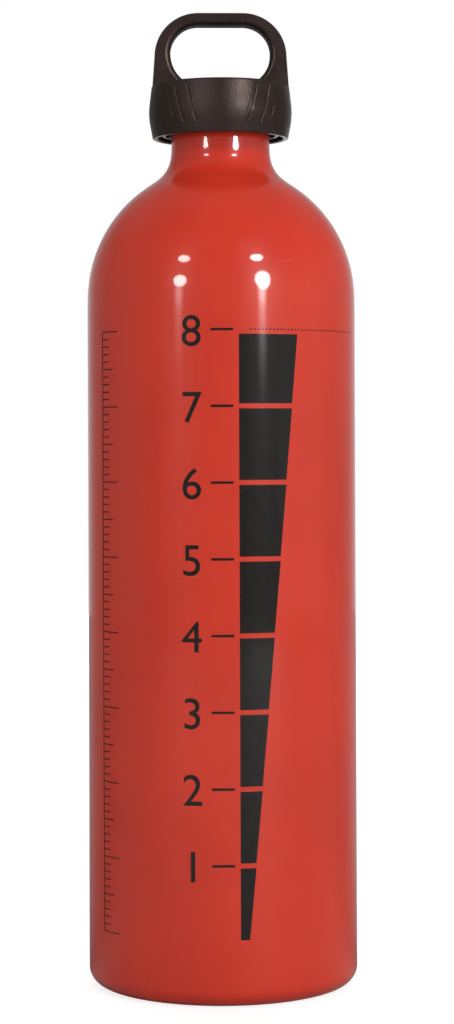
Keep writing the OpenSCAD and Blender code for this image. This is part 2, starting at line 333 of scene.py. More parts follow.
class NodeBench:
    """A node tree, with short calls for the nodes that the finishes and the world use."""

    def __init__(self, owner: bpy.types.Material | bpy.types.World, shader: str, coords: str) -> None:
        """Starts on the nodes of a material or world.

        Args:
            owner: The material or world.
            shader: The name of its shader node.
            coords: The texture coordinates that its patterns use.
        """
        owner.use_nodes = True
        self.owner = owner
        self.tree = owner.node_tree
        self.shader = self.tree.nodes[shader]
        self.coords = self.tree.nodes.new("ShaderNodeTexCoord").outputs[coords]

    @classmethod
    def material(cls, name: str) -> NodeBench:
        """Starts a material with a Principled shader and patterns on its object coordinates."""
        return cls(bpy.data.materials.new(name), "Principled BSDF", "Object")

    def put(self, socket: bpy.types.NodeSocket, value: object) -> None:
        """Links a socket to another, or sets its value."""
        if isinstance(value, bpy.types.NodeSocket):
            self.tree.links.new(value, socket)
        elif value is not None:
            socket.default_value = value

    def set(self, **values: object) -> None:
        """Sets or links the shader's sockets, each named in lower case with underscores."""
        for name, value in values.items():
            self.put(self.shader.inputs[name.replace("_", " ").title().replace("Ior", "IOR")], value)

    def math(self, kind: str, a: object, b: object = None, clamp: bool = False):
        """Adds a Math node and returns its output."""
        node = self.tree.nodes.new("ShaderNodeMath")
        node.operation = kind
        node.use_clamp = clamp
        self.put(node.inputs[0], a)
        self.put(node.inputs[1], b)
        return node.outputs[0]

    def axes(self, turn: float = 0.0) -> tuple:
        """Gives the coordinates one by one, in axes that are turned about Z by some degrees."""
        spin = self.tree.nodes.new("ShaderNodeMapping")
        spin.inputs["Rotation"].default_value = (0.0, 0.0, math.radians(-turn))
        self.put(spin.inputs["Vector"], self.coords)
        node = self.tree.nodes.new("ShaderNodeSeparateXYZ")
        self.put(node.inputs[0], spin.outputs[0])
        return tuple(node.outputs)

    def stretched(self, scale: tuple[float, float, float]):
        """Gives the object coordinates scaled along each axis."""
        node = self.tree.nodes.new("ShaderNodeMapping")
        self.put(node.inputs["Vector"], self.coords)
        node.inputs["Scale"].default_value = scale
        return node.outputs[0]

    def noise(self, scale: float, detail: float = 2.0, rough: float = 0.5, vector: object = None):
        """Adds a noise texture on the object coordinates and returns its factor."""
        node = self.tree.nodes.new("ShaderNodeTexNoise")
        self.put(node.inputs["Vector"], self.coords if vector is None else vector)
        node.inputs["Scale"].default_value = scale
        node.inputs["Detail"].default_value = detail
        node.inputs["Roughness"].default_value = rough
        return node.outputs["Fac"]

    def cells(self, scale: float, vector: object = None):
        """Adds a cell texture and returns the distance to its nearest point."""
        node = self.tree.nodes.new("ShaderNodeTexVoronoi")
        self.put(node.inputs["Vector"], self.coords if vector is None else vector)
        node.inputs["Scale"].default_value = scale
        return node.outputs["Distance"]

    def span(self, value: object, low: float, high: float, to_low: float = 0.0, to_high: float = 1.0):
        """Maps a value smoothly from one span to another, clamped."""
        node = self.tree.nodes.new("ShaderNodeMapRange")
        node.interpolation_type = "SMOOTHSTEP"
        self.put(node.inputs["Value"], value)
        for key, number in zip(("From Min", "From Max", "To Min", "To Max"), (low, high, to_low, to_high)):
            node.inputs[key].default_value = number
        return node.outputs["Result"]

    def mix(self, share: object, a: object, b: object):
        """Mixes two colours and returns the result."""
        node = self.tree.nodes.new("ShaderNodeMix")
        node.data_type = "RGBA"
        self.put(node.inputs["Factor"], share)
        self.put(node.inputs["A"], a)
        self.put(node.inputs["B"], b)
        return node.outputs["Result"]

    def rays(self) -> tuple:
        """Gives the camera's share of the rays, and the share that mirrors and glass send on."""
        out = self.tree.nodes.new("ShaderNodeLightPath").outputs
        return out["Is Camera Ray"], self.math("MAXIMUM", out["Is Glossy Ray"], out["Is Transmission Ray"])

    def bump(self, height: object, distance: float, strength: float = 1.0, after: object = None):
        """Adds a bump of the given depth in metres and returns its normal."""
        node = self.tree.nodes.new("ShaderNodeBump")
        node.inputs["Distance"].default_value = distance
        node.inputs["Strength"].default_value = strength
        self.put(node.inputs["Height"], height)
        self.put(node.inputs["Normal"], after)
        return node.outputs[0]


def rgb(red: float, green: float, blue: float) -> tuple[float, float, float, float]:
    """Gives a shader colour for one written as on a screen, from 0 to 255.

    Args:
        red: Its red.
        green: Its green.
        blue: Its blue.

    Returns:
        The colour in linear light, opaque.
    """
    parts = (c / 255 for c in (red, green, blue))
    line = [c / 12.92 if c <= 0.04045 else ((c + 0.055) / 1.055) ** 2.4 for c in parts]
    return (*line, 1.0)


@dataclass(frozen=True)
class RedEnamel:
    """Baked gloss enamel with a faint orange peel, fine scratches and a worn foot."""

    colour: tuple[float, float, float, float] = rgb(214, 57, 36)
    deep: tuple[float, float, float, float] = rgb(207, 53, 34)
    bare: tuple[float, float, float, float] = rgb(176, 172, 168)
    hairline: tuple[float, float, float, float] = rgb(238, 128, 108)
    roughness: float = 0.32

    def build(self) -> bpy.types.Material:
        """Returns the material."""
        bench = NodeBench.material("red_enamel")
        _, _, z = bench.axes()
        drift = bench.span(bench.noise(28, 3), 0.35, 0.65)
        paint = bench.mix(drift, self.deep, self.colour)
        rubbed = bench.math(
            "MULTIPLY",
            bench.span(z, 0.0, 0.0009, 1.0, 0.0),
            bench.span(bench.noise(420, 5, 0.65), 0.46, 0.6),
        )
        marks = bench.noise(1, 2, 0.5, bench.stretched((48, 48, 2200)))
        scratch = bench.span(marks, 0.74, 0.8)
        paint = bench.mix(bench.math("MULTIPLY", scratch, 0.3), paint, self.hairline)
        bench.set(
            base_color=bench.mix(rubbed, paint, self.bare),
            roughness=bench.math("ADD", bench.math("MULTIPLY", scratch, 0.2), self.roughness),
            coat_weight=1.0,
            coat_roughness=0.06,
            coat_ior=1.5,
            specular_ior_level=0.15,
            normal=bench.bump(bench.noise(330, 1), 0.00002, 0.25),
        )
        bench.put(bench.shader.inputs["Coat Normal"], bench.bump(bench.noise(210, 2), 0.00003, 0.3))
        return bench.owner


@dataclass(frozen=True)
class BareAluminium:
    """Drawn aluminium inside the bottle and turned aluminium round its mouth."""

    colour: tuple[float, float, float, float] = rgb(196, 196, 198)

    def build(self) -> bpy.types.Material:
        """Returns the material."""
        bench = NodeBench.material("bare_aluminium")
        rings = bench.noise(1, 3, 0.6, bench.stretched((30, 30, 3000)))
        bench.set(
            base_color=bench.mix(rings, rgb(170, 170, 172), self.colour),
            metallic=1.0,
            roughness=bench.span(rings, 0.3, 0.7, 0.28, 0.42),
            normal=bench.bump(rings, 0.00002, 0.4),
        )
        return bench.owner


@dataclass(frozen=True)
class BlackPlastic:
    """Moulded black plastic, with spark-eroded grain where a mask asks for it."""

    name: str
    colour: tuple[float, float, float, float] = rgb(43, 31, 27)
    low: tuple[float, float, float, float] = rgb(37, 27, 23)
    sheen: tuple[float, float, float, float] = (1.0, 0.78, 0.72, 1.0)
    roughness: float = 0.31
    grain: float = 0.00003
    panel: bool = False

    def build(self) -> bpy.types.Material:
        """Returns the material."""
        bench = NodeBench.material(self.name)
        x, y, z = bench.axes()
        pits = bench.noise(2600, 3, 0.6)
        shade = bench.mix(bench.span(bench.noise(90, 3), 0.3, 0.7), self.low, self.colour)
        fine = bench.bump(pits, self.grain, 0.5)
        rough = bench.span(bench.noise(150, 4), 0.3, 0.7, self.roughness - 0.05, self.roughness + 0.05)
        between = bench.span(bench.math("ABSOLUTE", y), 0.0021, 0.0028, 0.5, 0.0)
        dull = bench.math("MULTIPLY", between, bench.span(z, 0.2645, 0.266))
        worn = bench.math("MULTIPLY", bench.span(x, -0.006, 0.001, 0.13, 0.0), bench.span(z, 0.2632, 0.2638, 1.0, 0.0))
        dull = bench.math("ADD", dull, worn)
        bench.set(
            base_color=shade, roughness=bench.math("ADD", rough, dull), specular_ior_level=0.5,
            specular_tint=self.sheen, normal=fine,
        )
        if self.panel:
            turn = bench.math("ABSOLUTE", bench.math("ARCTAN2", x, bench.math("ABSOLUTE", y)))
            slant = bench.math("MULTIPLY", bench.math("SUBTRACT", 0.264, z), 14.8)
            inside = bench.span(bench.math("ADD", turn, slant), 0.47, 0.5, 1.0, 0.0)
            low = bench.span(z, 0.2632, 0.2638, 1.0, 0.0)
            mask = bench.math("MULTIPLY", inside, low)
            coarse = bench.math("MULTIPLY", bench.noise(2300, 3, 0.6), mask)
            bench.put(bench.shader.inputs["Normal"], bench.bump(coarse, 0.00011, 0.65, fine))
        return bench.owner


@dataclass(frozen=True)
class PrintInk:
    """Black stoving ink that is printed on the enamel."""

    colour: tuple[float, float, float, float] = rgb(25, 20, 16)

    def build(self) -> bpy.types.Material:
        """Returns the material."""
        bench = NodeBench.material("print_ink")
        shade = bench.mix(bench.span(bench.noise(300, 4), 0.35, 0.7), rgb(20, 17, 14), self.colour)
        bench.set(
            base_color=shade,
            roughness=bench.span(bench.noise(900, 2), 0.3, 0.7, 0.3, 0.4),
            specular_ior_level=0.1,
            coat_weight=1.0,
            coat_roughness=0.07,
            normal=bench.bump(bench.noise(1400, 2), 0.00001, 0.3),
        )
        return bench.owner


@dataclass(frozen=True)
class SealRubber:
    """Matt black fuel-proof rubber."""

    def build(self) -> bpy.types.Material:
        """Returns the material."""
        bench = NodeBench.material("seal_rubber")
        bench.set(
            base_color=bench.mix(bench.noise(500, 3), rgb(22, 21, 21), rgb(38, 37, 36)),
            roughness=bench.span(bench.noise(800, 3), 0.3, 0.7, 0.5, 0.66),
            normal=bench.bump(bench.noise(3000, 2), 0.00002, 0.5),
        )
        return bench.owner


@dataclass(frozen=True)
class SpringSteel:
    """Bright stainless spring wire with drawing lines."""

    def build(self) -> bpy.types.Material:
        """Returns the material."""
        bench = NodeBench.material("spring_steel")
        lines = bench.noise(1, 3, 0.5, bench.stretched((400, 400, 6000)))
        bench.set(
            base_color=bench.mix(lines, rgb(186, 188, 192), rgb(214, 215, 218)),
            metallic=1.0,
            roughness=bench.span(lines, 0.3, 0.7, 0.18, 0.3),
            normal=bench.bump(lines, 0.00001, 0.3),
        )
        return bench.owner


def face_outwards(bm: bmesh.types.BMesh) -> None:
    """Turns round each closed shell whose volume is negative, as a thin one's can be.

    Args:
        bm: The mesh, whose shells are each the same way round all over.
    """
    left = set(bm.faces)
    while left:
        shell, edge = [], [left.pop()]
        while edge:
            face = edge.pop()
            shell.append(face)
            near = {other for side in face.edges for other in side.link_faces} & left
            left -= near
            edge.extend(near)
        middle = shell[0].verts[0].co.copy()
        volume = sum((face.calc_center_median() - middle).dot(face.normal) * face.calc_area() for face in shell)
        if volume < 0:
            bmesh.ops.reverse_faces(bm, faces=shell)


# The bottle


@dataclass
class DrawnBottle:
    """The one-piece drawn bottle: body, domed shoulder, neck, thread and domed-up base."""

    body_r: float = 39.5
    body_h: float = 201.1
    wall: float = 1.0
    corner_r: float = 5.0
    base_t: float = 1.6
    punt_h: float = 8.0
    foot_w: float = 2.5
    bead_r: float = 3.0
    neck_r: float = 14.5
    bore_r: float = 12.5
    neck_h: float = 12.1
    hollow_r: float = 9.1
    mouth_bevel: float = 1.5
    rim_bevel: float = 0.3
    dome_ease: float = 3.0
    neck_ease: float = 2.2
    steps: int = 256

    def hollow_z(self, side: float, tube: float, hollow: float) -> float:
        """Gives the height of the centre of the hollow between dome and neck."""
        return self.body_h + math.sqrt((side + hollow) ** 2 - (tube + hollow) ** 2)

    @property
    def neck_z(self) -> float:
        """The height at which the straight neck starts."""
        return self.hollow_z(self.body_r, self.neck_r, self.hollow_r)

    @property
    def neck_top(self) -> float:
        """The height of the neck's rim."""
        return self.neck_z + self.neck_h

    def base_line(self, grow: float) -> list[Point]:
        """Gives the domed base and the bead round it, from the axis outwards.

        Args:
            grow: How far inside the metal the line runs: 0 below the base.

        Returns:
            The points, ending under the bead.
        """
        foot_in = self.body_r - self.corner_r - self.foot_w
        punt_r = (foot_in**2 + (self.bead_r - self.punt_h) ** 2 - self.bead_r**2) / (2 * self.punt_h)
        punt_z = self.punt_h - punt_r
        meet = math.degrees(math.atan2(self.bead_r - punt_z, foot_in))
        dome = arc((0, punt_z), punt_r + grow, 90, meet, 40)
        bead = arc((foot_in, self.bead_r), self.bead_r - grow, meet - 180, -90, 10)
        return [*dome, *bead[1:]]

    def drawn_line(self, side: float, hollow: float, meet: float) -> list[Point]:
        """Gives the shoulder as metal flows in drawing, with no sudden change of curvature.

        Args:
            side: The body's radius.
            hollow: The radius of the hollow under the neck.
            meet: How far the dome turns before the hollow turns back, in radians.

        Returns:
            The points, from just below the dome to the straight neck.
        """
        bends = [
            (0.0, 1 / side, self.dome_ease),
            (side * meet, -1 / side - 1 / hollow, self.neck_ease),
            ((side + hollow) * meet, 1 / hollow, self.neck_ease),
        ]
        start, stop, step = -3 * self.dome_ease, (side + hollow) * meet + 3 * self.neck_ease, 0.1
        x, z, lean, along = side, self.body_h + start, 0.0, start
        points = [(x, z)]
        while along < stop:
            bend = sum(turn * 0.5 * (1 + math.erf((along - at) / ease / math.sqrt(2))) for at, turn, ease in bends)
            lean += bend * step / 2
            x, z, along = x - math.sin(lean) * step, z + math.cos(lean) * step, along + step
            lean += bend * step / 2
            points.append((x, z))
        return points

    def side_line(self, side: float, tube: float, hollow: float, floor: float, edge: float) -> list[Point]:
        """Gives the corner, side, dome, hollow and the foot of the neck.

        Args:
            side: The body's radius.
            tube: The neck's radius.
            hollow: The radius of the hollow between them.
            floor: The height of the floor.
            edge: The radius of the corner at the floor.

        Returns:
            The points, from the floor up.
        """
        low, high = 0.6, 1.4
        for _ in range(30):
            meet = (low + high) / 2
            drawn = self.drawn_line(side, hollow, meet)
            low, high = (meet, high) if drawn[-1][0] > tube else (low, meet)
        corner = arc((side - edge, floor + edge), edge, -90, 0, 14)
        gap = drawn[0][1] - corner[-1][1]
        wall = [(side, corner[-1][1] + gap * i / 12) for i in range(1, 12)]
        return [*corner, *wall, *drawn[::7], (tube, drawn[-1][1])]

    def build(self, enamel: bpy.types.Material, bare: bpy.types.Material) -> bpy.types.Object:
        """Makes the bottle's wall, enamelled outside and bare inside.

        Args:
            enamel: The finish outside.
            bare: The finish inside and round the mouth.

        Returns:
            The piece.
        """
        top, bore, neck = self.neck_top, self.bore_r, self.neck_r
        outside = [
            *self.base_line(0),
            *self.side_line(self.body_r, neck, self.hollow_r, 0, self.corner_r),
            (neck, top - self.rim_bevel),
        ]
        inner = self.body_r - self.wall
        inside = [
            *self.base_line(self.base_t),
            *self.side_line(inner, bore, self.hollow_r + self.wall, self.base_t, self.corner_r - self.wall),
            (bore, top - self.mouth_bevel),
            (bore + self.mouth_bevel, top),
            (neck - self.rim_bevel, top),
            (neck, top - self.rim_bevel),
        ]
        bm = bmesh.new()
        spin_round(bm, add_path(bm, outside), self.steps, 0)
        painted = set(bm.faces)
        spin_round(bm, add_path(bm, inside), self.steps, 1)
        for face in bm.faces:
            face.material_index = 0 if face in painted else 1
        bmesh.ops.recalc_face_normals(bm, faces=bm.faces[:])
        return dress(make_object("bottle_wall", bm), Body.BOTTLE, [enamel, bare])


@dataclass
class ScrewThread:
    """A helical ridge on a cylinder, fading out at both its ends."""

    root_r: float
    height: float
    z0: float
    turns: float
    pitch: float = 3.0
    foot: float = 1.5
    crest: float = 0.6
    start: float = 0.0
    steps: int = 72
    sunk: float = 0.25

    def build(self, name: str, body: Body, slot: Slot, finish: bpy.types.Material) -> bpy.types.Object:
        """Makes the ridge; a negative height makes one that stands inwards.

        Args:
            name: The piece's name.
            body: The body that carries it.
            slot: Not used.
            finish: Its finish.

        Returns:
            The piece.
        """
        bm = bmesh.new()
        inward = math.copysign(1.0, self.height)
        section = [
            (self.root_r - inward * self.sunk, self.z0 - self.foot / 2),
            (self.root_r, self.z0 - self.foot / 2),
            (self.root_r + self.height, self.z0 - self.crest / 2),
            (self.root_r + self.height, self.z0 + self.crest / 2),
            (self.root_r, self.z0 + self.foot / 2),
            (self.root_r - inward * self.sunk, self.z0 + self.foot / 2),
        ]
        geom = add_path(bm, section, closed=True)
        bmesh.ops.rotate(
            bm, cent=(0, 0, 0), matrix=Matrix.Rotation(math.radians(self.start), 3, "Z"),
            verts=[v for v in geom if isinstance(v, bmesh.types.BMVert)],
        )
        count = round(self.turns * self.steps)
        last = bmesh.ops.spin(
            bm, geom=geom, cent=(0, 0, 0), axis=(0, 0, 1), dvec=(0, 0, self.pitch / self.steps),
            angle=self.turns * 2 * math.pi, steps=count, use_merge=False, use_duplicate=False,
        )["geom_last"]
        bm.faces.new([v for v in geom if isinstance(v, bmesh.types.BMVert)])
        bm.faces.new([v for v in last if isinstance(v, bmesh.types.BMVert)])
        length = self.turns * self.pitch
        for vert in bm.verts:
            radius = math.hypot(vert.co.x, vert.co.y)
            turned = math.degrees(math.atan2(vert.co.y, vert.co.x)) - self.start
            rise = vert.co.z - self.z0
            along = (round((rise / self.pitch) - turned / 360) + turned / 360) * self.pitch
            fade = min(1.0, along / (self.pitch / 3) , (length - along) / (self.pitch / 3))
            fade = max(0.0, fade)
            proud = (radius - self.root_r) * inward
            if proud > 0:
                wanted = self.root_r + inward * (proud * fade - self.sunk * 0.4 * (1 - fade))
                vert.co.x *= wanted / radius
                vert.co.y *= wanted / radius
        bmesh.ops.recalc_face_normals(bm, faces=bm.faces[:])
        return dress(make_object(name, bm), body, [finish])


@dataclass
class LevelPrint:
    """The black print on the enamel: a fill line, a level gauge and plain numbers."""

    radius: float = 39.5
    proud: float = 0.03
    sunk: float = 0.05
    slice_w: float = 1.2
    fill_z: float = 190.6
    step_z: float = 21.5
    foot_z: float = 18.6
    dot: float = 0.52
    dot_pitch: float = 1.15
    shift: float = -0.34

    def shape(self, bm: bmesh.types.BMesh, outline: list[Point]) -> None:
        """Adds a flat shape, given as arc length from the front and height."""
        path = add_path(bm, outline, closed=True)
        bm.faces.new([v for v in path if isinstance(v, bmesh.types.BMVert)])

    def bar(self, bm: bmesh.types.BMesh, left: float, right: float, low: float, high: float) -> None:
        """Adds an upright rectangle."""
        self.shape(bm, [(left, low), (right, low), (right, high), (left, high)])

    def number(self, bm: bmesh.types.BMesh, text: str, left: float, low: float, size: float) -> None:
        """Adds a plain number.

        Args:
            bm: The mesh that takes it.
            text: Its digits.
            left: Where it starts, as arc length from the front.
            low: The height of its foot.
            size: Its height in the font's own measure.
        """
        curve = bpy.data.curves.new("digits", "FONT")
        curve.body = text
        curve.size = size
        curve.offset = 0.012
        holder = bpy.data.objects.new("digits", curve)
        bpy.context.scene.collection.objects.link(holder)
        graph = bpy.context.evaluated_depsgraph_get()
        mesh = bpy.data.meshes.new_from_object(holder.evaluated_get(graph))
        mesh.transform(Matrix.Rotation(math.pi / 2, 4, "X"))
        mesh.transform(Matrix.Translation((left, 0, low)))
        bm.from_mesh(mesh)
        bpy.data.objects.remove(holder)
        bpy.data.curves.remove(curve)
        bpy.data.meshes.remove(mesh)

    def fill_line(self, bm: bmesh.types.BMesh) -> None:
        """Adds the dotted line that marks the highest level."""
        for i in range(37):
            u = 7.4 + i * self.dot_pitch
            half = self.dot / 2
            ring = [
                (u + half * math.cos(math.radians(30 * k)), self.fill_z + half * math.sin(math.radians(30 * k)))
                for k in range(12)
            ]
            self.shape(bm, ring)

    def gauge(self, bm: bmesh.types.BMesh) -> None:
        """Adds the stepped level gauge with its plain numbers."""
        for i in range(8):
            low = self.foot_z + i * self.step_z
            high = low + self.step_z
            foot, head = 2.6 + i * 1.9, 2.6 + (i + 1) * 1.9
            top = high - (1.3 if i == 7 else 0.7)
            self.shape(bm, [(4.0, low + 0.7), (4.0 + foot, low + 0.7), (4.0 + head, top), (4.0, top)])
            self.bar(bm, -4.0, 2.4, high - 0.35, high + 0.35)
            self.number(bm, str(i + 1), -12.6, high - 4.6, 12.5)

    def ruler(self, bm: bmesh.types.BMesh) -> None:
        """Adds the fine ruler at the left of the gauge."""
        for i in range(81):
            z = self.foot_z + i * self.step_z / 10
            reach = 7.5 if i % 10 == 0 else 5.2 if i % 5 == 0 else 3.2
            self.bar(bm, -42.0, -42.0 + reach, z - 0.16, z + 0.16)
        self.bar(bm, -42.4, -42.0, self.foot_z - 0.16, self.foot_z + 8 * self.step_z + 0.16)

    def build(self, ink: bpy.types.Material) -> bpy.types.Object:
        """Makes the print, wraps it round the body and lets it stand just proud of the enamel.

        Args:
            ink: Its finish.

        Returns:
            The piece.
        """
        bm = bmesh.new()
        self.fill_line(bm)
        self.gauge(bm)
        self.ruler(bm)
        edge = math.floor(min(v.co.x for v in bm.verts) / self.slice_w) * self.slice_w
        far = max(v.co.x for v in bm.verts)
        while edge < far:
            bmesh.ops.bisect_plane(
                bm, geom=[*bm.verts, *bm.edges, *bm.faces], plane_co=(edge, 0, 0), plane_no=(1, 0, 0)
            )
            edge += self.slice_w
        bmesh.ops.remove_doubles(bm, verts=bm.verts[:], dist=1e-4)
        top = bmesh.ops.extrude_face_region(bm, geom=bm.faces[:])["geom"]
        bmesh.ops.translate(
            bm, vec=(0, self.proud + self.sunk, 0),
            verts=[v for v in top if isinstance(v, bmesh.types.BMVert)],
        )
        for vert in bm.verts:
            turn = (vert.co.x + self.shift) / self.radius
            out = self.radius - self.sunk + vert.co.y
            vert.co.x, vert.co.y = out * math.sin(turn), -out * math.cos(turn)
        bmesh.ops.recalc_face_normals(bm, faces=bm.faces[:])
        face_outwards(bm)
        return dress(make_object("level_print", bm), Body.BOTTLE, [ink])


# The closure


@dataclass
class OuterCap:
    """The moulded outer cap: skirt, deck, carrying loop, and what is moulded under the deck."""

    deck_z: float = 263.985
    skirt_h: float = 15.6
    ridge_h: float = 7.0
    rim_r: float = 20.0
    ridge_r: float = 21.3
    top_r: float = 20.3
    skirt_t: float = 1.5
    deck_t: float = 1.8
    sleeve_in_r: float = 16.2
    sleeve_t: float = 1.1
    tab_z: float = 249.285
    tab_h: float = 0.9
    tab_in_r: float = 15.6
    tab_angle: float = 26.0
    rib_t: float = 1.0
    rib_foot: float = 3.0
    dog_in_r: float = 9.35
    dog_out_r: float = 12.45
    dog_w: float = 2.6
    dog_h: float = 1.9
    spigot_r: float = 5.6
    spigot_h: float = 4.0
    loop_h: float = 21.2
    loop_depth: float = 7.5
    loop_w: float = 38.9
    loop_corner_r: float = 12.9
    loop_bar: float = 3.5
    opening_w: float = 29.5
    opening_r: float = 8.2
    opening_sag: float = 1.12
    ridge_fillet: float = 20.0
    steps: int = 192

    @property
    def rim_z(self) -> float:
        """The height of the skirt's lower rim."""
        return self.deck_z - self.skirt_h

    @property
    def ridge_z(self) -> float:
        """The height of the skirt's widest ring."""
        return self.rim_z + self.ridge_h

    @property
    def ceiling_z(self) -> float:
        """The height of the deck's underside."""
        return self.deck_z - self.deck_t

    def skirt_radius(self, z: float) -> float:
        """Gives the skirt's outside radius at a height."""
        if z < self.ridge_z:
            return self.rim_r + (self.ridge_r - self.rim_r) * (z - self.rim_z) / self.ridge_h
        share = (z - self.ridge_z) / (self.deck_z - self.ridge_z)
        return self.ridge_r + (self.top_r - self.ridge_r) * share

    def shell(self) -> bpy.types.Object:
        """Makes the skirt and deck with softened edges."""
        inner = self.skirt_t
        section = rounded(
            [
                (0, self.ceiling_z, 0),
                (self.top_r - inner - 0.1, self.ceiling_z, 0.5),
                (self.ridge_r - inner, self.ridge_z, 0.6),
                (self.rim_r - inner, self.rim_z + 0.8, 0.15),
                (self.rim_r - inner, self.rim_z, 0.45),
                (self.rim_r, self.rim_z, 0.45),
                (self.ridge_r, self.ridge_z, self.ridge_fillet),
                (self.top_r, self.deck_z, 0.55),
                (0, self.deck_z, 0),
            ]
        )
        return make_object("cap_moulding", spun_solid(section, self.steps))

    def groove_cutter(self) -> bpy.types.Object:
        """Makes the round-ended cutters of all the slanted grip grooves."""
        bm = bmesh.new()
        lean = 13.2
        for side in Side:
            for hand in (-1, 1):
                for k, first in enumerate((31.6, 43.4, 51.6)):
                    radius, depth = (0.75, 0.3) if k < 2 else (0.8, 0.32)
                    top = self.deck_z - 1.6 if k < 2 else self.rim_z + 7.6
                    foot = self.rim_z + (3.4 if k < 2 else 5.6)
                    stops = [top, self.ridge_z, foot] if top > self.ridge_z else [top, foot]
                    points = []
                    for z in stops:
                        turn = hand * (first - lean * (self.deck_z - z) / self.skirt_h) - 90 + side.value
                        out = self.skirt_radius(z) + radius - depth
                        points.append(Vector((out * math.cos(math.radians(turn)), out * math.sin(math.radians(turn)), z)))
                    for a, b in zip(points, points[1:]):
                        self.capsule(bm, a, b, radius)
        return make_object("groove_cutter", bm)

    @staticmethod
    def capsule(bm: bmesh.types.BMesh, start: Vector, end: Vector, radius: float) -> None:
        """Adds a bar with round ends.

        Args:
            bm: The mesh that takes it.
            start: Its first end.
            end: Its other end.
            radius: Its radius.
        """
        span = end - start
        place = Matrix.Translation((start + end) / 2) @ span.to_track_quat("Z", "Y").to_matrix().to_4x4()
        made = bmesh.ops.create_uvsphere(bm, u_segments=16, v_segments=10, radius=radius)["verts"]
        for vert in made:
            vert.co.z += math.copysign(span.length / 2, vert.co.z) if abs(vert.co.z) > 1e-5 else 0.0
        bmesh.ops.transform(bm, matrix=place, verts=made)

    def loop_outline(self) -> list[Point]:
        """Gives the outer outline of the loop's right half, from its top to its foot."""
        shoulder_x = self.loop_w / 2 - self.loop_corner_r
        shoulder_z = self.deck_z + self.loop_h - self.loop_corner_r
        foot = (self.top_r - 0.25, self.ceiling_z + 0.05)
        knee = (self.top_r - 0.25, self.deck_z)
        right = arc((shoulder_x, shoulder_z), self.loop_corner_r, 90, 0, 20)
        return [(0, right[0][1]), *right, knee, foot, (0, foot[1])]

    def opening_outline(self) -> list[Point]:
        """Gives the outline of the right half of the loop's opening, from its foot to its top."""
        x = self.opening_w / 2 - self.opening_r
        z = self.deck_z + self.loop_h - self.loop_bar - self.opening_r
        end = arc((x, z), self.opening_r, -90, 90, 28)
        end = [(0, end[0][1]), *end, (0, end[-1][1])]
        return [(px, pz if pz > z else z + (pz - z) * self.opening_sag) for px, pz in end]

    def loop(self) -> bpy.types.Object:
        """Makes the carrying loop with rounded edges and a flared foot on the deck."""
        half_face = [*self.loop_outline(), *self.opening_outline()]
        bm = slab([half_face, [(-x, z) for x, z in reversed(half_face)]], self.loop_depth)
        x_in = self.opening_w / 2
        z_in = self.deck_z + self.loop_h - self.loop_bar - self.opening_r
        outer, inner = [], []
        half = self.loop_depth / 2
        for edge in bm.edges:
            ends = [v.co for v in edge.verts]
            if any(abs(abs(p.y) - half) > 1e-4 for p in ends) or ends[0].y * ends[1].y < 0:
                continue
            if not edge.is_manifold or edge.calc_face_angle(0.0) < 1.0:
                continue
            middle = (ends[0] + ends[1]) / 2
            up = middle.z - z_in
            reach = math.hypot(max(0.0, abs(middle.x) - (x_in - self.opening_r)), up if up > 0 else up / self.opening_sag)
            if middle.z < self.deck_z - 0.3:
                continue
            (inner if reach < self.opening_r + 0.1 else outer).append(edge)
        bevel_edges(bm, outer, 1.4, 6)
        inner = [e for e in inner if e.is_valid]
        bevel_edges(bm, inner, 1.7, 6)
        bmesh.ops.recalc_face_normals(bm, faces=bm.faces[:])
        return make_object("carrying_loop", bm)

    def underside(self, bm: bmesh.types.BMesh) -> None:
        """Adds the guide sleeve with its snap tabs, the ribs, the dogs and the spring's spigot."""
        bond = self.ceiling_z + 0.4
        out = self.sleeve_in_r + self.sleeve_t
        sleeve = rounded(
            [(self.sleeve_in_r, bond, 0), (self.sleeve_in_r, self.tab_z, 0.2), (out, self.tab_z, 0.3), (out, bond, 0)]
        )
        join_into(bm, spun_solid(sleeve, self.steps))
        for i in range(12):
            rib = bmesh.new()
            bmesh.ops.create_cube(rib, size=1.0)
            length = self.rim_r - self.skirt_t / 2 - out + 0.3
            height = bond - self.rim_z - self.rib_foot
            bmesh.ops.scale(rib, vec=(length, self.rib_t, height), verts=rib.verts[:])
            bmesh.ops.translate(rib, vec=(out - 0.3 + length / 2, 0, bond - height / 2), verts=rib.verts[:])
            bevel_edges(rib, [e for e in rib.edges if max(v.co.z for v in e.verts) < bond - 1], 0.2, 2)
            join_into(bm, rib, Matrix.Rotation(math.radians(15 + 30 * i), 4, "Z"))
        for i in range(6):
            join_into(bm, self.snap_tab(), Matrix.Rotation(math.radians(30 + 60 * i - self.tab_angle / 2), 4, "Z"))
        for i in range(8):
            dog = bmesh.new()
            bmesh.ops.create_cube(dog, size=1.0)
            length = self.dog_out_r - self.dog_in_r
            bmesh.ops.scale(dog, vec=(length, self.dog_w, self.dog_h + 0.4), verts=dog.verts[:])
            bmesh.ops.translate(
                dog, vec=(self.dog_in_r + length / 2, 0, bond - (self.dog_h + 0.4) / 2), verts=dog.verts[:]
            )
            bevel_edges(dog, dog.edges[:], 0.2, 2)
            join_into(bm, dog, Matrix.Rotation(math.radians(45 * i), 4, "Z"))
        foot = self.ceiling_z - self.spigot_h
        spigot = rounded(
            [
                (self.spigot_r - 1.1, bond, 0), (self.spigot_r - 1.1, foot, 0.2),
                (self.spigot_r, foot, 0.4), (self.spigot_r, bond, 0),
            ]
        )
        join_into(bm, spun_solid(spigot, 64))

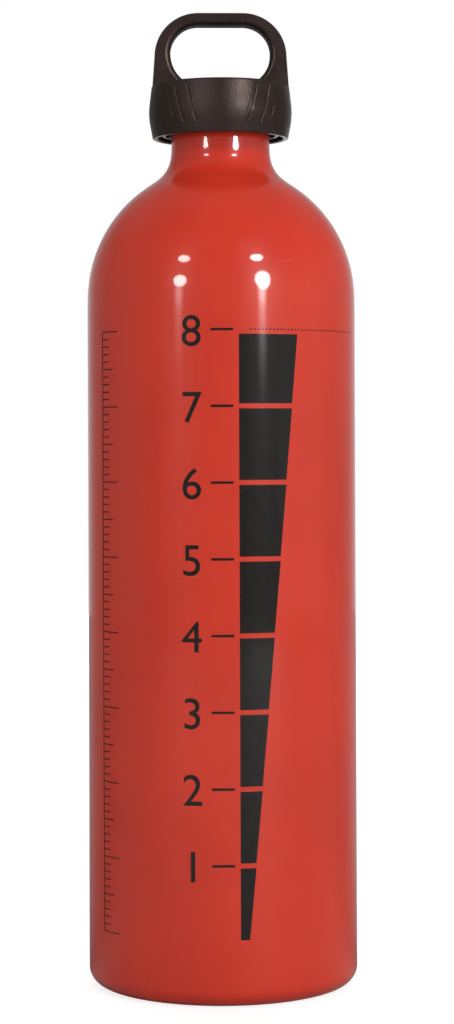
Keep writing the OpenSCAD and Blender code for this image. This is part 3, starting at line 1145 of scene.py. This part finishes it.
    def snap_tab(self) -> bmesh.types.BMesh:
        """Makes one snap tab, starting at angle 0."""
        bm = bmesh.new()
        root = self.sleeve_in_r + self.sleeve_t / 2
        geom = add_path(
            bm,
            [
                (root, self.tab_z),
                (self.tab_in_r + self.tab_h / 2, self.tab_z),
                (self.tab_in_r, self.tab_z + self.tab_h / 2),
                (self.tab_in_r, self.tab_z + self.tab_h),
                (root, self.tab_z + self.tab_h),
            ],
            closed=True,
        )
        last = bmesh.ops.spin(
            bm, geom=geom, cent=(0, 0, 0), axis=(0, 0, 1), angle=math.radians(self.tab_angle), steps=14,
            use_merge=False, use_duplicate=False,
        )["geom_last"]
        bm.faces.new([v for v in geom if isinstance(v, bmesh.types.BMVert)])
        bm.faces.new([v for v in last if isinstance(v, bmesh.types.BMVert)])
        bmesh.ops.recalc_face_normals(bm, faces=bm.faces[:])
        return bm

    def build(self, finish: bpy.types.Material) -> list[bpy.types.Object]:
        """Makes the whole outer cap.

        Args:
            finish: Its plastic.

        Returns:
            The pieces: the moulding, and what is moulded under its deck.
        """
        shell = self.shell()
        boolean(shell, self.groove_cutter(), "DIFFERENCE")
        boolean(shell, self.loop(), "UNION")
        bm = bmesh.new()
        bm.from_mesh(shell.data)
        bmesh.ops.scale(bm, vec=(1 / MM,) * 3, verts=bm.verts[:])
        bpy.data.objects.remove(shell)
        outer = dress(make_object("cap_moulding", bm), Body.CAP, [finish])
        even = outer.modifiers.new("even_normals", "WEIGHTED_NORMAL")
        even.keep_sharp = True
        under = bmesh.new()
        self.underside(under)
        inner = dress(make_object("cap_underside", under), Body.CAP, [finish])
        return [outer, inner]


@dataclass
class ReturnSpring:
    """The coil spring under the deck, with its end turns drawn together."""

    foot_z: float = 244.505
    head_z: float = 262.165
    wire_d: float = 0.9
    outside_d: float = 13.8
    turns: int = 6
    end_close: float = 0.5
    steps: int = 48
    well_z: float = 0.244485
    keep: float = 0.887

    def build(self, finish: bpy.types.Material) -> bpy.types.Object:
        """Makes the coil at one fixed length, riding on the plug.

        Args:
            finish: Its steel.

        Returns:
            The piece.
        """
        bm = bmesh.new()
        radius = (self.outside_d - self.wire_d) / 2
        ring = bmesh.ops.create_circle(bm, cap_ends=False, segments=14, radius=self.wire_d / 2)["verts"]
        bmesh.ops.rotate(bm, cent=(0, 0, 0), matrix=Matrix.Rotation(math.pi / 2, 3, "X"), verts=ring)
        bmesh.ops.translate(bm, vec=(radius, 0, 0), verts=ring)
        geom = [*ring, *bm.edges]
        rise = self.head_z - self.foot_z - self.wire_d
        count = self.turns * self.steps
        last = bmesh.ops.spin(
            bm, geom=geom, cent=(0, 0, 0), axis=(0, 0, 1), dvec=(0, 0, rise / count),
            angle=self.turns * 2 * math.pi, steps=count, use_merge=False, use_duplicate=False,
        )["geom_last"]
        bm.faces.new(ring)
        bm.faces.new([v for v in last if isinstance(v, bmesh.types.BMVert)])
        for vert in bm.verts:
            share = min(1.0, max(0.0, vert.co.z / rise))
            vert.co.z -= rise * self.end_close * math.sin(2 * math.pi * share) / (2 * math.pi)
            vert.co.z += self.foot_z + self.wire_d / 2
        bmesh.ops.recalc_face_normals(bm, faces=bm.faces[:])
        piece = dress(make_object("return_coil", bm), Body.PLUG, [finish])
        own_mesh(piece)
        return piece


# Camera, floor and light


@dataclass(frozen=True)
class Studio:
    """The camera at the photograph's place, a pale floor and soft light."""

    focal_px: float = 2536.9
    distance: float = 0.750
    eye_z: float = 0.1591
    eye_x: float = 0.0016
    horizon_row: float = 441.5
    roll: float = 0.21
    floor_r: float = 1.6
    lamp_away: float = 1.3
    soft_spread: float = 2.5
    turn: float = -2.0

    def camera(self) -> None:
        """Adds the level camera."""
        data = bpy.data.cameras.new("camera")
        data.sensor_fit = "AUTO"
        data.sensor_width = 36.0
        data.lens = self.focal_px / PICTURE_H * data.sensor_width
        data.shift_y = (self.horizon_row - PICTURE_H / 2) / PICTURE_H
        data.clip_start, data.clip_end = 0.01, 50.0
        obj = bpy.data.objects.new("camera", data)
        round_axis = Matrix.Rotation(math.radians(self.turn), 3, "Z")
        obj.location = round_axis @ Vector((self.eye_x, -self.distance, self.eye_z))
        obj.rotation_euler = (math.pi / 2, math.radians(self.roll), math.radians(self.turn))
        bpy.context.scene.collection.objects.link(obj)
        bpy.context.scene.camera = obj

    def lamp(
        self, name: str, turn: float, rise: float, size: Point, gloss: float, soft: float, soft_rise: float
    ) -> None:
        """Adds an area lamp that faces the bottle's shoulder, as a mirrored disc and as soft light.

        Args:
            name: Its name.
            turn: Its bearing from the camera's side, in degrees, positive to the right.
            rise: Its height above the level, in degrees.
            size: Its width and height, in metres.
            gloss: The power that glossy surfaces mirror, in watts.
            soft: The power that lights matt surfaces, in watts.
            soft_rise: The height of that light above the level, in degrees.
        """
        t = math.radians(turn + self.turn)
        for kind, power, up in (("gloss", gloss, rise), ("soft", soft, soft_rise)):
            r = math.radians(up)
            way = Vector((math.sin(t) * math.cos(r), -math.cos(t) * math.cos(r), math.sin(r)))
            data = bpy.data.lights.new(f"{name}_{kind}", "AREA")
            data.shape = "ELLIPSE"
            data.size, data.size_y = (side * (self.soft_spread if kind == "soft" else 1.0) for side in size)
            data.energy = power
            obj = bpy.data.objects.new(f"{name}_{kind}", data)
            obj.location = Vector((0, 0, 0.2)) + way * self.lamp_away
            obj.rotation_mode = "QUATERNION"
            obj.rotation_quaternion = way.to_track_quat("Z", "Y")
            obj.visible_camera = False
            obj.visible_glossy = kind == "gloss"
            obj.visible_diffuse = kind == "soft"
            bpy.context.scene.collection.objects.link(obj)

    def lights(self) -> None:
        """Adds the lamps."""
        self.lamp("left_dish", -34.8, 13.0, (0.25, 0.175), 2.05, 1.3, 4.0)
        self.lamp("right_dish", 35.8, 13.7, (0.3, 0.275), 5.6, 4.9, 3.0)
        self.lamp("left_head", -34.2, 30.0, (0.225, 0.12), 1.2, 2.0, 40.0)
        self.lamp("right_head", 33.6, 30.8, (0.24, 0.13), 2.0, 5.2, 40.0)

    def world(self) -> None:
        """Adds the room: a dim left, a paler right, the glow under each lamp and the white backdrop."""
        bench = NodeBench(bpy.data.worlds.new("studio"), "Background", "Generated")
        bpy.context.scene.world = bench.owner
        straight, mirrored = bench.rays()
        x, y, z = bench.axes(self.turn)
        bearing = bench.math("ARCTAN2", x, bench.math("MULTIPLY", y, -1.0))
        right = bench.math("MULTIPLY", bench.span(bearing, 0.78, 0.95), bench.span(bearing, 1.4, 1.9, 1.0, 0.1))
        right = bench.math("MULTIPLY", right, bench.span(z, 0.1, 0.55, 0.19, 0.05))
        left = bench.math("MULTIPLY", bench.span(bearing, -1.3, -1.0, 1.0, 0.0), bench.span(bearing, -2.4, -2.0))
        room = bench.math("ADD", bench.math("ADD", right, bench.math("MULTIPLY", left, 0.06)), 0.19)
        room = bench.math("MULTIPLY", room, bench.span(z, -0.13, -0.05, 1.5, 1.0))
        room = bench.math("MULTIPLY", room, bench.span(z, 0.2, 0.6, 1.0, 0.75))
        across = bench.math("ABSOLUTE", bearing)
        far = bench.math("MAXIMUM", bench.span(across, 1.5, 2.05, 1.0, 0.16), bench.span(z, 0.4, 0.65))
        room = bench.math("MULTIPLY", room, far)
        rim = bench.math("MULTIPLY", bench.math("POWER", bench.math("MAXIMUM", y, 0.0), 5.0), 0.63)
        rim = bench.math("MULTIPLY", rim, bench.span(z, 0.05, 0.25, 1.0, 0.75))
        room = bench.math("ADD", room, rim)
        sides = bench.math("ADD", bench.span(bearing, 0.8, 1.8, 0.14, 1.04), bench.span(bearing, -1.9, -0.9, 0.45, 0.0))
        sides = bench.math("ADD", sides, bench.span(across, 1.8, 2.4, 0.0, 3.0))
        sides = bench.math("MULTIPLY", sides, bench.span(z, 0.1, 0.7, 1.0, 0.1))
        unseen = bench.math("SUBTRACT", 1.0, bench.math("MAXIMUM", straight, mirrored))
        level = bench.math("ADD", room, bench.math("MULTIPLY", sides, unseen))
        for turn, power in ((-36.1, 4.5), (35.2, 11.5)):
            away = bench.math("ABSOLUTE", bench.math("SUBTRACT", bearing, math.radians(turn)))
            wide = bench.span(away, 0.005, 0.09, power, 0.0)
            rise = bench.math("POWER", bench.span(z, 0.008, 0.09), 1.7)
            rise = bench.math("MULTIPLY", rise, bench.span(z, 0.14, 0.168, 1.0, 0.0))
            level = bench.math("ADD", level, bench.math("MULTIPLY", wide, rise))
        bench.put(bench.shader.inputs["Color"], (1, 1, 1, 1))
        bench.put(bench.shader.inputs["Strength"], level)
        white = bench.tree.nodes.new("ShaderNodeBackground")
        white.inputs["Color"].default_value = (1, 1, 1, 1)
        swap = bench.tree.nodes.new("ShaderNodeMixShader")
        behind = bench.math("MULTIPLY", mirrored, bench.span(y, 0.965, 0.998))
        bench.put(swap.inputs[0], bench.math("MAXIMUM", straight, behind))
        bench.put(swap.inputs[1], bench.shader.outputs[0])
        bench.put(swap.inputs[2], white.outputs[0])
        bench.put(bench.tree.nodes["World Output"].inputs[0], swap.outputs[0])

    def floor(self) -> None:
        """Adds the pale floor that the bottle stands on. Its colour carries painted bounce light and painted
        reflections: it is painted lighter for the rays that light the bottle from it, and darker in front and paler
        behind where the bottle mirrors it.
        """
        bm = bmesh.new()
        bmesh.ops.create_circle(bm, cap_ends=True, segments=96, radius=self.floor_r / MM)
        obj = make_object("floor", bm)
        bench = NodeBench.material("floor_paper")
        x, y, _ = bench.axes()
        straight, mirrored = bench.rays()
        paper = bench.mix(bench.noise(900, 3), rgb(163, 162, 161), rgb(168, 167, 166))
        # Painted bounce light: rays that light the bottle from the floor see it lighter than the camera does.
        painted_bounce_colour = bench.mix(straight, rgb(178, 177, 176), paper)
        away = bench.math("SQRT", bench.math("ADD", bench.math("POWER", x, 2.0), bench.math("POWER", y, 2.0)))
        back = bench.math("DIVIDE", y, away)
        # Painted reflection: where the bottle mirrors the floor, it is painted dark in front and pale behind, paler
        # still to the right.
        painted_rear_paleness = bench.math("POWER", bench.math("MAXIMUM", back, 0.0), 3.0)
        painted_rear_paleness = bench.math("MULTIPLY", painted_rear_paleness, bench.span(bench.math("DIVIDE", x, away), -0.3, 0.3, 0.65, 1.1))
        pale = bench.math("ADD", painted_rear_paleness, bench.span(back, -0.07, 0.46, 0.64, 0.04))
        bench.set(
            base_color=bench.mix(mirrored, painted_bounce_colour, bench.mix(pale, rgb(78, 78, 77), rgb(176, 175, 174))),
            roughness=0.8,
            specular_ior_level=0.2,
        )
        behind = bench.math("MULTIPLY", mirrored, bench.span(back, 0.965, 0.998))
        glow = bench.span(away, 0.06, 0.6, 0.78, 1.0)
        bench.put(bench.shader.inputs["Emission Color"], (1, 1, 1, 1))
        bench.put(
            bench.shader.inputs["Emission Strength"],
            bench.math("MULTIPLY", bench.math("MAXIMUM", straight, behind), glow),
        )
        obj.data.materials.append(bench.owner)

    def build(self) -> None:
        """Adds everything round the object."""
        bpy.context.scene.view_settings.view_transform = "Standard"
        self.camera()
        self.lights()
        self.world()
        self.floor()


def corners(box: tuple[Vector, Vector]) -> list[list[float]]:
    """Gives a box as plain lists of numbers."""
    return [list(corner) for corner in box]


def main() -> None:
    """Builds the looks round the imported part."""
    logging.basicConfig(level=logging.INFO, format="%(message)s")
    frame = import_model()
    Studio().build()

    enamel, bare = RedEnamel().build(), BareAluminium().build()
    bottle = DrawnBottle()
    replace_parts(bottle.build(enamel, bare), "bottle_shell")
    thread_z = bottle.neck_top - 10.6
    ScrewThread(bottle.bore_r, -0.75, thread_z, 2.85).build("neck_thread", Body.BOTTLE, Slot.ENAMEL, bare)
    LevelPrint().build(PrintInk().build())

    moulded = BlackPlastic("cap_plastic", panel=True).build()
    for piece in OuterCap().build(moulded):
        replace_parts(piece, "cap_shell")
    plain = BlackPlastic("plug_plastic", colour=rgb(34, 30, 28), roughness=0.36, grain=0.00003).build()
    ScrewThread(11.3, 0.75, thread_z - 1.5, 3.3).build("plug_thread", Body.PLUG, Slot.PLUG, plain)
    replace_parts(ReturnSpring().build(SpringSteel().build()), "return_spring")
    finishes = {"threaded_plug": plain, "o_ring": SealRubber().build()}
    for node, finish in finishes.items():
        mesh = frame["nodes"][node].data
        mesh.materials.clear()
        mesh.materials.append(finish)
        LOG.info("%s keeps its packed shape", node)


if __name__ == "__main__":
    main()
